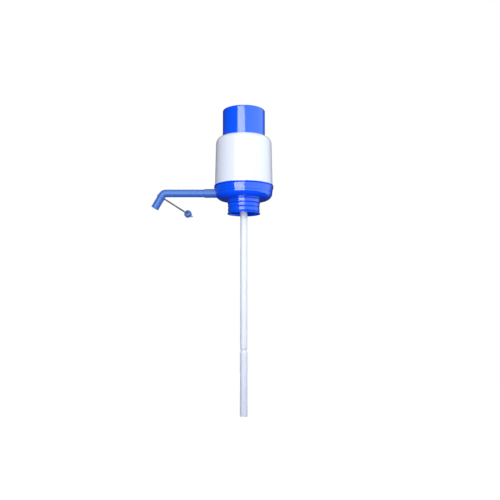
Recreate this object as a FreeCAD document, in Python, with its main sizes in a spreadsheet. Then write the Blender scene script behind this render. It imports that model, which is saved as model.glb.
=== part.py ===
"""Hand pump for a five-gallon water jug, as a parametric FreeCAD document.

Millimetres. The origin is on the pump's axis, in the plane of the neck collar's bottom rim.
+Z runs up to the push cap, and the spout points along -X.
"""
import FreeCAD, Part
import Sketcher
import math
import os
import re

Vector = FreeCAD.Vector

# Driving dimensions, in millimetres and degrees. Each becomes a cell of the sheet "sizes".
SIZES = {
    # Neck collar, a ribbed sleeve that stretches over the jug's neck
    "collar_height": 26.0,
    "collar_bore": 55.8,
    "collar_bead": 1.0,
    "collar_wall": 1.45,
    "rib_pitch": 8.2,
    "rib_rise": 1.1,
    "rib_count": 2,
    "collar_flange_diameter": 61.0,
    "collar_flange_thickness": 3.4,
    "collar_entry": 0.7,
    # Gasket that the jug's lip seals on
    "gasket_thickness": 2.5,
    "gasket_bore": 41.0,
    # Base bowl
    "bowl_inset": 0.6,
    "bowl_side_wall": 2.8,
    "bowl_floor": 2.5,
    "bowl_skin": 2.0,
    "bowl_corner_run": 8.5,
    "bowl_corner_rise": 9.0,
    "bowl_corner_radius": 13.5,
    "bowl_neck_wall": 1.45,
    "bowl_neck_skirt": 5.8,
    "bowl_neck_fillet": 1.5,
    "bowl_opening": 38.0,
    "tongue_thickness": 1.1,
    "tongue_height": 3.0,
    # Base deck with its rim
    "rim_overhang": 1.7,
    "rim_height": 14.3,
    "rim_foot_width": 2.9,
    "rim_skirt_height": 3.4,
    "rim_curve_height": 7.0,
    "rim_groove_width": 1.7,
    "rim_groove_depth": 1.6,
    "rim_lip_height": 1.3,
    "rim_lip_inset": 0.3,
    "rim_edge_radius": 0.7,
    "deck_thickness": 3.0,
    "spigot_height": 9.0,
    "spigot_wall": 2.3,
    # Shell
    "shell_height": 90.0,
    "shell_diameter": 106.6,
    "shell_taper": 2.0,
    "shell_wall": 2.4,
    "lug_count": 3,
    "lug_width": 10.0,
    "lug_depth": 1.6,
    "lug_height": 2.5,
    "lug_rise": 4.6,
    # Push cap
    "cap_diameter": 78.4,
    "cap_stroke": 36.0,
    "cap_pressed_height": 15.3,
    "cap_wall": 2.0,
    "cap_top_wall": 2.5,
    "cap_edge_radius": 2.6,
    "cap_dish_depth": 1.6,
    "cap_dish_inset": 8.0,
    "cap_flange_width": 2.4,
    "cap_flange_thickness": 2.0,
    "seat_ring_height": 5.9,
    "seat_ring_diameter": 52.0,
    "seat_ring_wall": 2.0,
    "seat_ring_notch_width": 6.0,
    "seat_ring_notch_height": 4.0,
    # Bellows, its top plate and its clamp ring
    "bellows_wall": 1.6,
    "bellows_fold_depth": 7.0,
    "bellows_fold_count": 9,
    "bellows_fold_flat": 2.0,
    "bellows_flange_thickness": 2.0,
    "bellows_lip_width": 3.5,
    "bellows_lip_thickness": 1.6,
    "top_plate_thickness": 3.0,
    "top_plate_overhang": 4.0,
    "clamp_ring_thickness": 3.0,
    "clamp_ring_lip": 3.6,
    # Check valves, both the same
    "valve_diameter": 26.0,
    "valve_thickness": 1.3,
    "valve_edge_thickness": 0.7,
    "valve_stem_diameter": 4.4,
    "valve_barb_diameter": 7.2,
    "valve_barb_height": 3.4,
    "valve_tip_diameter": 3.0,
    "valve_lift": 1.6,
    "valve_port_count": 6,
    "valve_port_diameter": 4.0,
    "valve_port_circle": 17.0,
    # Outlet elbow and the nipple pressed into its boss
    "elbow_foot_diameter": 48.0,
    "elbow_foot_thickness": 1.7,
    "elbow_port_count": 6,
    "elbow_port_diameter": 7.0,
    "elbow_port_circle": 29.0,
    "elbow_drop": 14.6,
    "elbow_wall": 1.75,
    "elbow_bore": 10.0,
    "boss_wall": 1.6,
    "boss_reach": 22.0,
    "nipple_start": 9.0,
    "nipple_wall": 0.9,
    "nipple_edge": 0.4,
    "nipple_reach": 73.0,
    "nipple_socket_depth": 23.0,
    # Spout
    "spout_diameter": 14.2,
    "spout_wall": 1.4,
    "spout_reach": 148.7,
    "spout_turn": 60.0,
    "spout_bend_radius": 7.6,
    "spout_drop": 32.1,
    "seal_cord": 0.9,
    "seal_inset": 8.0,
    # Dust cap on its strap
    "ring_drop": 8.3,
    "ring_wall": 0.9,
    "ring_height": 3.0,
    "ring_ear": 0.9,
    "strap_reach": 58.5,
    "strap_droop": 2.5,
    "strap_diameter": 2.8,
    "dust_cap_diameter": 14.0,
    "dust_cap_plate": 2.6,
    "dust_cap_crown": 3.0,
    "dust_cap_ear": 0.8,
    "dust_cap_tab": 3.2,
    "dust_cap_tab_width": 3.0,
    "plug_length": 7.6,
    "plug_wall": 1.5,
    "plug_lead": 1.2,
    # Dip tube
    "upper_tube_diameter": 13.0,
    "upper_tube_wall": 1.2,
    "lower_tube_diameter": 13.7,
    "lower_tube_wall": 1.2,
    "joint_depth": 254.0,
    "lower_tube_length": 115.5,
    "tube_insertion": 15.0,
    "tube_neck_length": 5.0,
    "tube_taper_length": 2.5,
    # Clearances
    "seat_gap": 0.1,
    "tube_gap": 0.05,
    "cap_running_gap": 0.45,
    "cap_stop_gap": 0.5,
    "bellows_gap": 2.25,
    "bellows_end_gap": 0.3,
    "clamp_gap": 2.5,
    "valve_seat_gap": 0.05,
    "valve_stem_gap": 0.3,
    "elbow_gap": 0.3,
    "spout_fit_gap": 0.1,
    "spout_end_gap": 0.3,
    "seal_gap": 0.03,
    "ring_gap": 0.2,
    "plug_gap": 0.25,
    "hinge_gap": 0.15,
}

# Places and radii that follow from the driving dimensions, each written once.
PLACES = {
    # Radii about the pump's axis
    "shell_foot": "shell_diameter / 2",
    "collar_inner": "collar_bore / 2",
    "collar_outer": "collar_inner + collar_wall",
    "collar_groove": "collar_outer - rib_rise",
    "collar_bead_inner": "collar_inner - collar_bead",
    "collar_flange": "collar_flange_diameter / 2",
    "gasket_outer": "collar_bead_inner",
    "bowl_neck_bore": "collar_outer + seat_gap",
    "bowl_neck": "bowl_neck_bore + bowl_neck_wall",
    "bowl_outer": "shell_foot - bowl_inset",
    "bowl_inner": "bowl_outer - bowl_side_wall",
    "bowl_inner_corner": "bowl_corner_radius - 2 * bowl_skin",
    "tongue_outer": "bowl_inner + tongue_thickness",
    "rim_outer": "shell_foot + rim_overhang",
    "rim_foot": "bowl_inner + rim_foot_width",
    "rim_lip": "rim_outer - rim_lip_inset",
    "rim_groove": "rim_outer - rim_groove_depth",
    "rim_bulge": "rim_outer - rim_foot",
    "rim_bulge_radius": "(rim_bulge * rim_bulge + rim_curve_height * rim_curve_height) / (2 * rim_bulge)",
    "shell_foot_inner": "shell_foot - shell_wall",
    "shell_shoulder": "shell_foot - shell_taper",
    "shell_draft": "shell_taper * spigot_height / (shell_height - shoulder_radius)",
    "spigot_outer": "shell_foot_inner - shell_draft - seat_gap",
    "spigot_inner": "spigot_outer - spigot_wall",
    "cap_outer": "cap_diameter / 2",
    "cap_inner": "cap_outer - cap_wall",
    "cap_dish": "cap_outer - cap_dish_inset",
    "cap_flange": "cap_outer + cap_flange_width",
    "shell_mouth": "cap_outer + cap_running_gap",
    "shoulder_radius": "shell_shoulder - shell_mouth",
    "bellows_crest": "cap_inner - bellows_gap",
    "bellows_root": "bellows_crest - bellows_fold_depth",
    "bellows_lip_bore": "bellows_root - bellows_lip_width",
    "clamp_outer": "spigot_inner - seat_gap",
    "clamp_inner": "bellows_crest + clamp_gap",
    "bellows_flange": "clamp_outer - clamp_ring_lip - seat_gap",
    "top_plate": "bellows_root + top_plate_overhang",
    "valve_bore": "valve_stem_diameter / 2 + valve_stem_gap",
    "elbow_socket": "upper_tube_diameter / 2 + tube_gap",
    "elbow_leg": "elbow_socket + elbow_wall",
    # Radii about the spout's axis
    "spout_outer": "spout_diameter / 2",
    "spout_bore": "spout_outer - spout_wall",
    "nipple_bore": "spout_outer + spout_fit_gap",
    "nipple_outer": "nipple_bore + nipple_wall",
    "nipple_notch": "nipple_outer + seat_gap",
    "boss_socket": "nipple_outer + tube_gap",
    "boss_outer": "boss_socket + boss_wall",
    "seal_outer": "nipple_bore - seal_gap",
    "seal_centre": "seal_outer - seal_cord / 2",
    "seal_floor": "seal_outer - seal_cord - seal_gap",
    # Heights
    "bowl_floor_under": "collar_height + seat_gap",
    "bowl_floor_top": "bowl_floor_under + bowl_floor",
    "bowl_under": "bowl_floor_top - bowl_skin",
    "bowl_neck_end": "collar_height - bowl_neck_skirt",
    "spout_axis": "bowl_floor_top + elbow_foot_thickness + nipple_outer + elbow_gap",
    "bowl_top": "spout_axis - seat_gap",
    "rim_foot_height": "spout_axis + seat_gap",
    "tongue_top": "spout_axis + tongue_height",
    "rim_under": "spout_axis + rim_skirt_height",
    "rim_top": "spout_axis + rim_height",
    "rim_groove_top": "rim_top - rim_lip_height",
    "rim_groove_bottom": "rim_groove_top - rim_groove_width",
    "deck_top": "rim_top + deck_thickness",
    "spigot_top": "rim_top + spigot_height",
    "lug_bottom": "rim_top + lug_rise",
    "shell_top": "rim_top + shell_height",
    "shoulder_height": "shell_top - shoulder_radius",
    "cap_top": "shell_top + cap_pressed_height + cap_stroke",
    "cap_ceiling": "cap_top - cap_dish_depth - cap_top_wall",
    "cap_flange_top": "shell_top - shell_wall - cap_stop_gap",
    "cap_bottom": "cap_flange_top - cap_flange_thickness",
    "top_plate_top": "cap_ceiling - seat_ring_height",
    "top_plate_under": "top_plate_top - top_plate_thickness",
    "bellows_top": "top_plate_under - bellows_end_gap",
    "elbow_bottom": "bowl_floor_top - elbow_drop",
    "elbow_shoulder": "spout_axis - elbow_bore / 2 - elbow_gap",
    # Along the spout
    "socket_end": "nipple_reach - nipple_socket_depth",
    "spout_start": "socket_end + spout_end_gap",
    "seal_reach": "spout_start + seal_inset",
    "bend_tangent": "spout_bend_radius * tan(spout_turn / 2)",
    # Dust cap and strap
    "leg_tilt": "90 - spout_turn",
    "strap_tilt": "leg_tilt + strap_droop",
    "ring_bore": "spout_outer + ring_gap",
    "ring_outer": "ring_bore + ring_wall",
    "strap_end": "strap_diameter / 2",
    "ring_ear_end": "ring_outer + ring_ear",
    "ring_hinge": "ring_ear_end + hinge_gap + strap_end",
    "dust_cap": "dust_cap_diameter / 2",
    "dust_cap_ear_end": "dust_cap + dust_cap_ear",
    "cap_hinge": "dust_cap_ear_end + hinge_gap + strap_end",
    "strap_length": "strap_reach - ring_hinge - cap_hinge",
    "plug_outer": "spout_bore - plug_gap",
    "ring_x": "-spout_reach - ring_drop * cos(spout_turn)",
    "ring_z": "spout_axis - ring_drop * sin(spout_turn)",
    "strap_x": "ring_x + ring_hinge * cos(leg_tilt)",
    "strap_z": "ring_z - ring_hinge * sin(leg_tilt)",
    "dust_cap_x": "strap_x + (strap_length + cap_hinge) * cos(strap_tilt)",
    "dust_cap_z": "strap_z - (strap_length + cap_hinge) * sin(strap_tilt)",
    # Dip tube
    "upper_tube": "upper_tube_diameter / 2",
    "upper_tube_bore": "upper_tube - upper_tube_wall",
    "lower_tube": "lower_tube_diameter / 2",
    "lower_tube_bore": "lower_tube - lower_tube_wall",
    "tube_end": "lower_tube_bore - tube_gap",
    "tube_end_bore": "tube_end - upper_tube_wall",
    "tube_top": "elbow_shoulder - seat_gap",
    "neck_top": "-joint_depth + tube_neck_length",
    "taper_top": "neck_top + tube_taper_length",
}

document = FreeCAD.newDocument("water_jug_pump")
sizes = document.addObject("Spreadsheet::Sheet", "sizes")


def fill_sheet():
    """Write each driving dimension into the sheet, with its name as the cell's alias."""
    for row, (name, value) in enumerate(SIZES.items(), start=1):
        sizes.set(f"A{row}", name)
        sizes.set(f"B{row}", str(value))
        sizes.setAlias(f"B{row}", name)
    document.recompute()


def expression(text):
    """Spell out the names in text as references to the sheet's cells."""
    def spell(match):
        name = match.group(0)
        if name in PLACES:
            return "(" + expression(PLACES[name]) + ")"
        if name in SIZES:
            return "sizes." + name
        return name
    return re.sub(r"[a-z_]+", spell, text)


def value(text):
    """The number that an expression has now."""
    result = sizes.evalExpression(expression(text))
    return float(getattr(result, "Value", result))


def bind(target, path, text):
    """Tie a property of an object to the sheet."""
    target.setExpression(path, expression(text))


def new_body(label):
    """A PartDesign body whose label names its file."""
    body = document.addObject("PartDesign::Body", label)
    body.Label = label
    return body


def origin_feature(body, role):
    """One of a body's own origin planes or axes."""
    for feature in body.Origin.OriginFeatures:
        if feature.Role == role:
            return feature
    raise ValueError(role)


def new_sketch(body, name, plane, offset=None):
    """An empty sketch on one of the body's origin planes, raised along its normal by offset."""
    sketch = body.newObject("Sketcher::SketchObject", name)
    sketch.AttachmentSupport = (origin_feature(body, plane), [""])
    sketch.MapMode = "FlatFace"
    if offset is not None:
        bind(sketch, "AttachmentOffset.Base.z", offset)
    return sketch


def constrain(sketch, kind, *arguments, text):
    """Add a dimension to a sketch and tie it to the sheet."""
    index = sketch.addConstraint(Sketcher.Constraint(kind, *arguments, value(text)))
    bind(sketch, f"Constraints[{index}]", text)


def draw_outline(sketch, corners, closed=True):
    """Draw a chain of lines and arcs through corners.

    A corner is (x, y), or (x, y, radius) where an arc leaves it. A positive radius turns
    counter-clockwise and a negative one clockwise.
    """
    places = [Vector(value(corner[0]), value(corner[1]), 0) for corner in corners]
    count = len(corners) if closed else len(corners) - 1
    starts = []
    ends = []
    for index in range(count):
        start = places[index]
        end = places[(index + 1) % len(places)]
        if len(corners[index]) == 2:
            segment = sketch.addGeometry(Part.LineSegment(start, end), False)
            starts.append((segment, 1))
            ends.append((segment, 2))
            continue
        turn = corners[index][2]
        clockwise = turn.startswith("-")
        radius = value(turn.lstrip("-"))
        if clockwise:
            start, end = end, start
        chord = end - start
        left = Vector(-chord.y, chord.x, 0).normalize()
        rise = math.sqrt(max(radius * radius - chord.Length * chord.Length / 4, 0))
        centre = (start + end) * 0.5 + left * rise
        first = math.atan2(start.y - centre.y, start.x - centre.x)
        last = math.atan2(end.y - centre.y, end.x - centre.x)
        circle = Part.Circle(centre, Vector(0, 0, 1), radius)
        segment = sketch.addGeometry(Part.ArcOfCircle(circle, first, last), False)
        starts.append((segment, 2 if clockwise else 1))
        ends.append((segment, 1 if clockwise else 2))
    for index in range(count):
        following = (index + 1) % count
        if closed or following:
            sketch.addConstraint(Sketcher.Constraint("Coincident", *ends[index], *starts[following]))
    points = starts if closed else starts + [ends[-1]]
    for corner, point in zip(corners, points):
        constrain(sketch, "DistanceX", -1, 1, *point, text=corner[0])
        constrain(sketch, "DistanceY", -1, 1, *point, text=corner[1])
    for index in range(count):
        if len(corners[index]) == 3:
            constrain(sketch, "Radius", starts[index][0], text=corners[index][2].lstrip("-"))


def draw_circle(sketch, x, y, radius):
    """Draw a circle whose centre and radius are tied to the sheet."""
    centre = Vector(value(x), value(y), 0)
    circle = sketch.addGeometry(Part.Circle(centre, Vector(0, 0, 1), value(radius)), False)
    constrain(sketch, "DistanceX", -1, 1, circle, 3, text=x)
    constrain(sketch, "DistanceY", -1, 1, circle, 3, text=y)
    constrain(sketch, "Radius", circle, text=radius)


def rectangle(left, bottom, right, top):
    """The four corners of a rectangle."""
    return [(left, bottom), (right, bottom), (right, top), (left, top)]


def revolve(body, name, corners, kind="Revolution", axis="V_Axis", plane="XZ_Plane"):
    """Turn an outline about one of its plane's axes, to add material or to cut it."""
    sketch = new_sketch(body, name + "_sketch", plane)
    draw_outline(sketch, corners)
    feature = body.newObject("PartDesign::" + kind, name)
    feature.Profile = sketch
    feature.ReferenceAxis = (sketch, [axis])
    feature.Angle = 360
    return feature


def extrude(body, name, sketch, length=None, kind="Pad", midplane=False, backwards=False):
    """Pad or pocket a sketch. With no length, a pocket goes through everything."""
    feature = body.newObject("PartDesign::" + kind, name)
    feature.Profile = sketch
    if length is None:
        feature.Type = 1
    else:
        bind(feature, "Length", length)
    feature.Midplane = midplane
    feature.Reversed = backwards
    return feature


def repeat_round(body, name, feature, count):
    """Repeat a feature evenly round the body's Z axis."""
    pattern = body.newObject("PartDesign::PolarPattern", name)
    pattern.Originals = [feature]
    pattern.Axis = (origin_feature(body, "Z_Axis"), [""])
    pattern.Angle = 360
    bind(pattern, "Occurrences", count)
    body.Tip = pattern
    return pattern


def place(target, x="0", z="0", tilt=None):
    """Put an object at x, z, turned about Y by tilt degrees."""
    if tilt is not None:
        target.Placement = FreeCAD.Placement(Vector(), FreeCAD.Rotation(Vector(0, 1, 0), value(tilt)))
        bind(target, "Placement.Rotation.Angle", tilt)
    bind(target, "Placement.Base.x", x)
    bind(target, "Placement.Base.z", z)


def collar_outline():
    """Half section of the neck collar, its ribs and inner beads following each other."""
    bottom = "collar_flange_thickness"
    rib_arc = "(rib_pitch * rib_pitch / (8 * rib_rise) + rib_rise / 2)"
    hollow_arc = "(rib_pitch * rib_pitch / (8 * collar_bead) + collar_bead / 2)"
    count = int(value("rib_count"))
    outside = [("collar_groove", f"{bottom} + rib_pitch * {index}", rib_arc) for index in range(count)]
    inside = [("collar_bead_inner", f"{bottom} + rib_pitch * {index}", "-" + hollow_arc)
              for index in range(count, 0, -1)]
    return [
        ("collar_inner + collar_entry", "0"),
        ("collar_flange - collar_entry", "0", "collar_entry"),
        ("collar_flange", "collar_entry"),
        ("collar_flange", f"{bottom} - collar_entry", "collar_entry"),
        ("collar_flange - collar_entry", bottom),
        *outside,
        ("collar_groove", f"{bottom} + rib_pitch * {count}"),
        ("collar_outer", f"{bottom} + rib_pitch * {count} + rib_rise"),
        ("collar_outer", "collar_height"),
        ("collar_inner", "collar_height"),
        ("collar_inner", f"{bottom} + rib_pitch * {count} + collar_bead"),
        *inside,
        ("collar_bead_inner", bottom),
        ("collar_inner", f"{bottom} - collar_bead"),
    ]


def make_neck_collar():
    body = new_body("neck_collar")
    revolve(body, "collar", collar_outline())


def make_neck_gasket():
    body = new_body("neck_gasket")
    revolve(body, "washer", rectangle("gasket_bore / 2", "bowl_floor_under - gasket_thickness",
                                      "gasket_outer", "bowl_floor_under"))


def cut_nipple_notch(body):
    """The round notch through the base's wall that holds the outlet's nipple."""
    sketch = new_sketch(body, "nipple_notch_sketch", "YZ_Plane")
    draw_circle(sketch, "0", "spout_axis", "nipple_notch")
    extrude(body, "nipple_notch", sketch, kind="Pocket")


def make_base_bowl():
    body = new_body("base_bowl")
    revolve(body, "bowl", [
        ("bowl_opening / 2", "bowl_floor_under"),
        ("bowl_neck_bore", "bowl_floor_under"),
        ("bowl_neck_bore", "bowl_neck_end"),
        ("bowl_neck", "bowl_neck_end"),
        ("bowl_neck", "bowl_under - bowl_neck_fillet", "-bowl_neck_fillet"),
        ("bowl_neck + bowl_neck_fillet", "bowl_under"),
        ("bowl_outer - bowl_corner_run", "bowl_under", "bowl_corner_radius"),
        ("bowl_outer", "bowl_under + bowl_corner_rise"),
        ("bowl_outer", "bowl_top"),
        ("tongue_outer", "bowl_top"),
        ("tongue_outer", "tongue_top"),
        ("bowl_inner", "tongue_top"),
        ("bowl_inner", "bowl_floor_top + bowl_inner_corner", "-bowl_inner_corner"),
        ("bowl_inner - bowl_inner_corner", "bowl_floor_top"),
        ("bowl_opening / 2", "bowl_floor_top"),
    ])
    cut_nipple_notch(body)


def cut_valve_ports(body, height):
    """The ring of air holes that a check valve covers, cut down from height."""
    sketch = new_sketch(body, "port_sketch", "XY_Plane", offset=height)
    draw_circle(sketch, "valve_port_circle / 2", "0", "valve_port_diameter / 2")
    port = extrude(body, "port", sketch, kind="Pocket", length="top_plate_thickness + deck_thickness")
    repeat_round(body, "ports", port, "valve_port_count")


def make_base_deck():
    body = new_body("base_deck")
    revolve(body, "deck", [
        ("valve_bore", "rim_top"),
        ("bowl_inner", "rim_top"),
        ("bowl_inner", "tongue_top + seat_gap"),
        ("tongue_outer + seat_gap", "tongue_top + seat_gap"),
        ("tongue_outer + seat_gap", "rim_foot_height"),
        ("rim_foot", "rim_foot_height"),
        ("rim_foot", "rim_under", "rim_bulge_radius"),
        ("rim_outer", "rim_under + rim_curve_height"),
        ("rim_outer", "rim_groove_bottom"),
        ("rim_groove", "rim_groove_bottom"),
        ("rim_groove", "rim_groove_top"),
        ("rim_lip", "rim_groove_top"),
        ("rim_lip", "rim_top - rim_edge_radius", "rim_edge_radius"),
        ("rim_lip - rim_edge_radius", "rim_top"),
        ("spigot_outer", "rim_top"),
        ("spigot_outer", "spigot_top"),
        ("spigot_inner", "spigot_top"),
        ("spigot_inner", "deck_top"),
        ("valve_bore", "deck_top"),
    ])
    cut_nipple_notch(body)
    sketch = new_sketch(body, "window_sketch", "XY_Plane", offset="lug_bottom - seat_gap")
    draw_outline(sketch, rectangle("spigot_inner - spigot_wall / 2", "-lug_width / 2 - seat_gap",
                                   "spigot_outer + spigot_wall / 2", "lug_width / 2 + seat_gap"))
    window = extrude(body, "window", sketch, kind="Pocket", length="lug_height + 2 * seat_gap",
                     backwards=True)
    repeat_round(body, "windows", window, "lug_count")
    cut_valve_ports(body, "deck_top")


def make_shell():
    body = new_body("shell")
    revolve(body, "wall", [
        ("shell_foot_inner", "rim_top"),
        ("shell_foot", "rim_top"),
        ("shell_shoulder", "shoulder_height", "shoulder_radius"),
        ("shell_mouth", "shell_top"),
        ("shell_mouth", "shell_top - shell_wall", "-(shoulder_radius - shell_wall)"),
        ("shell_shoulder - shell_wall", "shoulder_height"),
    ])
    sketch = new_sketch(body, "lug_sketch", "XY_Plane", offset="lug_bottom")
    draw_outline(sketch, rectangle("shell_foot_inner - lug_depth", "-lug_width / 2",
                                   "shell_foot - shell_wall / 2", "lug_width / 2"))
    lug = extrude(body, "lug", sketch, length="lug_height")
    repeat_round(body, "lugs", lug, "lug_count")


def make_push_cap():
    body = new_body("push_cap")
    revolve(body, "cup", [
        ("0", "cap_ceiling"),
        ("seat_ring_diameter / 2 - seat_ring_wall", "cap_ceiling"),
        ("seat_ring_diameter / 2 - seat_ring_wall", "top_plate_top"),
        ("seat_ring_diameter / 2", "top_plate_top"),
        ("seat_ring_diameter / 2", "cap_ceiling"),
        ("cap_inner - cap_edge_radius + cap_wall", "cap_ceiling", "-(cap_edge_radius - cap_wall)"),
        ("cap_inner", "cap_ceiling - cap_edge_radius + cap_wall"),
        ("cap_inner", "cap_bottom"),
        ("cap_flange", "cap_bottom"),
        ("cap_flange", "cap_flange_top"),
        ("cap_outer", "cap_flange_top"),
        ("cap_outer", "cap_top - cap_edge_radius", "cap_edge_radius"),
        ("cap_outer - cap_edge_radius", "cap_top"),
        ("cap_dish", "cap_top"),
        ("cap_dish - 2 * cap_dish_depth", "cap_top - cap_dish_depth"),
        ("0", "cap_top - cap_dish_depth"),
    ])
    sketch = new_sketch(body, "notch_sketch", "XZ_Plane")
    draw_outline(sketch, rectangle("-seat_ring_notch_width / 2", "top_plate_top - seat_gap",
                                   "seat_ring_notch_width / 2", "top_plate_top + seat_ring_notch_height"))
    notch = extrude(body, "notch", sketch, kind="Pocket", length="seat_ring_diameter + cap_wall",
                    midplane=True)
    body.Tip = notch


def make_top_plate():
    body = new_body("bellows_top_plate")
    revolve(body, "plate", rectangle("valve_bore", "top_plate_under", "top_plate", "top_plate_top"))
    cut_valve_ports(body, "top_plate_top")


def make_check_valve(label, seat, plate):
    """A rubber disc under a plate, hung by a barbed stem that gives it room to drop.

    The disc rests a hair below its seat, and the barb stays as far above the plate at full drop.
    """
    body = new_body(label)
    stem_top = f"{plate} + 2 * valve_seat_gap + valve_lift"
    revolve(body, "disc", [
        ("0", "-valve_thickness"),
        ("valve_stem_diameter", "-valve_thickness"),
        ("valve_diameter / 2", "-valve_edge_thickness"),
        ("valve_diameter / 2", "0"),
        ("valve_stem_diameter / 2", "0"),
        ("valve_stem_diameter / 2", stem_top),
        ("valve_barb_diameter / 2", stem_top),
        ("valve_tip_diameter / 2", f"{stem_top} + valve_barb_height"),
        ("0", f"{stem_top} + valve_barb_height"),
    ])
    place(body, z=f"{seat} - valve_seat_gap")


def make_bellows():
    """The concertina, with a flange under the clamp ring and a lip under the top plate."""
    root = value("bellows_root")
    crest = value("bellows_crest")
    wall = value("bellows_wall")
    flat = value("bellows_fold_flat")
    bottom = value("deck_top")
    fold_bottom = bottom + value("bellows_flange_thickness")
    top = value("bellows_top")
    fold_top = top - value("bellows_lip_thickness")
    count = int(value("bellows_fold_count"))
    pitch = (fold_top - fold_bottom) / count
    outside = []
    for fold in range(count):
        start = fold_bottom + fold * pitch
        outside.append((root, start))
        outside.append((crest, start + (pitch - flat) / 2))
        outside.append((crest, start + (pitch + flat) / 2))
    outside.append((root, fold_top))
    inside = [(radius - wall, height) for radius, height in reversed(outside)]
    lip_bore = value("bellows_lip_bore")
    flange = value("bellows_flange")
    outline = [(root - wall, bottom), (flange, bottom), (flange, fold_bottom)]
    outline += outside + [(root, top), (lip_bore, top), (lip_bore, fold_top)] + inside
    points = [Vector(radius, 0, height) for radius, height in outline + outline[:1]]
    section = Part.Face(Part.makePolygon(points))
    bellows = document.addObject("Part::Feature", "bellows")
    bellows.Label = "bellows"
    bellows.Shape = section.revolve(Vector(), Vector(0, 0, 1), 360)


def make_clamp_ring():
    body = new_body("bellows_clamp_ring")
    seat = "deck_top + bellows_flange_thickness"
    revolve(body, "ring", [
        ("clamp_inner", seat),
        ("bellows_flange + seat_gap", seat),
        ("bellows_flange + seat_gap", "deck_top"),
        ("clamp_outer", "deck_top"),
        ("clamp_outer", f"{seat} + clamp_ring_thickness"),
        ("clamp_inner", f"{seat} + clamp_ring_thickness"),
    ])


def cylinder(name, radius, length, x="0", z="0", along_spout=False, y="0"):
    """A cylinder that starts at x, y, z and runs up, or out along -X."""
    solid = document.addObject("Part::Cylinder", name)
    bind(solid, "Radius", radius)
    bind(solid, "Height", length)
    if along_spout:
        solid.Placement = FreeCAD.Placement(Vector(), FreeCAD.Rotation(Vector(0, 1, 0), -90))
    bind(solid, "Placement.Base.x", x)
    bind(solid, "Placement.Base.y", y)
    bind(solid, "Placement.Base.z", z)
    return solid


def make_outlet_elbow():
    """Dip tube socket, a foot on the bowl's floor, and the boss that holds the nipple."""
    solids = [
        cylinder("elbow_leg", "elbow_leg", "spout_axis + boss_outer - elbow_bottom", z="elbow_bottom"),
        cylinder("elbow_foot", "elbow_foot_diameter / 2", "elbow_foot_thickness", z="bowl_floor_top"),
        cylinder("elbow_boss", "boss_outer", "boss_reach", z="spout_axis", along_spout=True),
    ]
    hollows = [
        cylinder("elbow_socket", "elbow_socket", "elbow_shoulder - elbow_bottom", z="elbow_bottom"),
        cylinder("elbow_rise", "elbow_bore / 2", "spout_axis - elbow_bottom", z="elbow_bottom"),
        cylinder("elbow_run", "elbow_bore / 2", "nipple_start", z="spout_axis", along_spout=True),
        cylinder("boss_socket", "boss_socket", "boss_reach - nipple_start", x="-nipple_start",
                 z="spout_axis", along_spout=True),
    ]
    corner = document.addObject("Part::Sphere", "elbow_corner")
    bind(corner, "Radius", "elbow_bore / 2")
    bind(corner, "Placement.Base.z", "spout_axis")
    hollows.append(corner)
    count = int(value("elbow_port_count"))
    for index in range(count):
        turn = f"({index} + 0.5) * 360 / {count}"
        hollows.append(cylinder(f"elbow_port_{index}", "elbow_port_diameter / 2", "elbow_foot_thickness",
                                x=f"elbow_port_circle / 2 * cos({turn})",
                                y=f"elbow_port_circle / 2 * sin({turn})", z="bowl_floor_top"))
    casting = document.addObject("Part::MultiFuse", "elbow_solid")
    casting.Shapes = solids
    hollow = document.addObject("Part::MultiFuse", "elbow_hollow")
    hollow.Shapes = hollows
    elbow = document.addObject("Part::Cut", "outlet_elbow")
    elbow.Base = casting
    elbow.Tool = hollow
    elbow.Label = "outlet_elbow"


def make_outlet_nipple():
    """The short tube through the base's wall, in which the spout turns."""
    body = new_body("outlet_nipple")
    start = "-nipple_start - seat_gap"
    revolve(body, "tube", [
        (start, "elbow_bore / 2"),
        ("-socket_end", "elbow_bore / 2"),
        ("-socket_end", "nipple_bore"),
        ("-nipple_reach", "nipple_bore"),
        ("-nipple_reach", "nipple_outer - nipple_edge"),
        ("-nipple_reach + nipple_edge", "nipple_outer"),
        (start, "nipple_outer"),
    ], axis="H_Axis")
    place(body, z="spout_axis")


def make_spout():
    """The bent pipe. Its own X axis is the axis that it swivels about."""
    body = new_body("spout")
    path = new_sketch(body, "path_sketch", "XZ_Plane")
    draw_outline(path, [
        ("-spout_start", "0"),
        ("-spout_reach + bend_tangent", "0", "spout_bend_radius"),
        ("-spout_reach - bend_tangent * cos(spout_turn)", "-bend_tangent * sin(spout_turn)"),
        ("-spout_reach - spout_drop * cos(spout_turn)", "-spout_drop * sin(spout_turn)"),
    ], closed=False)
    sweeps = (("pipe", "AdditivePipe", "spout_outer"), ("bore", "SubtractivePipe", "spout_bore"))
    for name, kind, radius in sweeps:
        ring = new_sketch(body, name + "_sketch", "YZ_Plane", offset="-spout_start")
        draw_circle(ring, "0", "0", radius)
        sweep = body.newObject("PartDesign::" + kind, name)
        sweep.Profile = ring
        sweep.Spine = path
        document.recompute()
    revolve(body, "seal_groove", rectangle("-seal_reach - seal_cord / 2 - seal_gap", "seal_floor",
                                           "-seal_reach + seal_cord / 2 + seal_gap",
                                           "spout_outer + seal_gap"),
            kind="Groove", axis="H_Axis")
    place(body, z="spout_axis")


def make_spout_seal():
    ring = document.addObject("Part::Torus", "spout_o_ring")
    ring.Label = "spout_o_ring"
    ring.Placement = FreeCAD.Placement(Vector(), FreeCAD.Rotation(Vector(0, 1, 0), 90))
    bind(ring, "Radius1", "seal_centre")
    bind(ring, "Radius2", "seal_cord / 2")
    bind(ring, "Placement.Base.x", "-seal_reach")
    bind(ring, "Placement.Base.z", "spout_axis")


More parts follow.
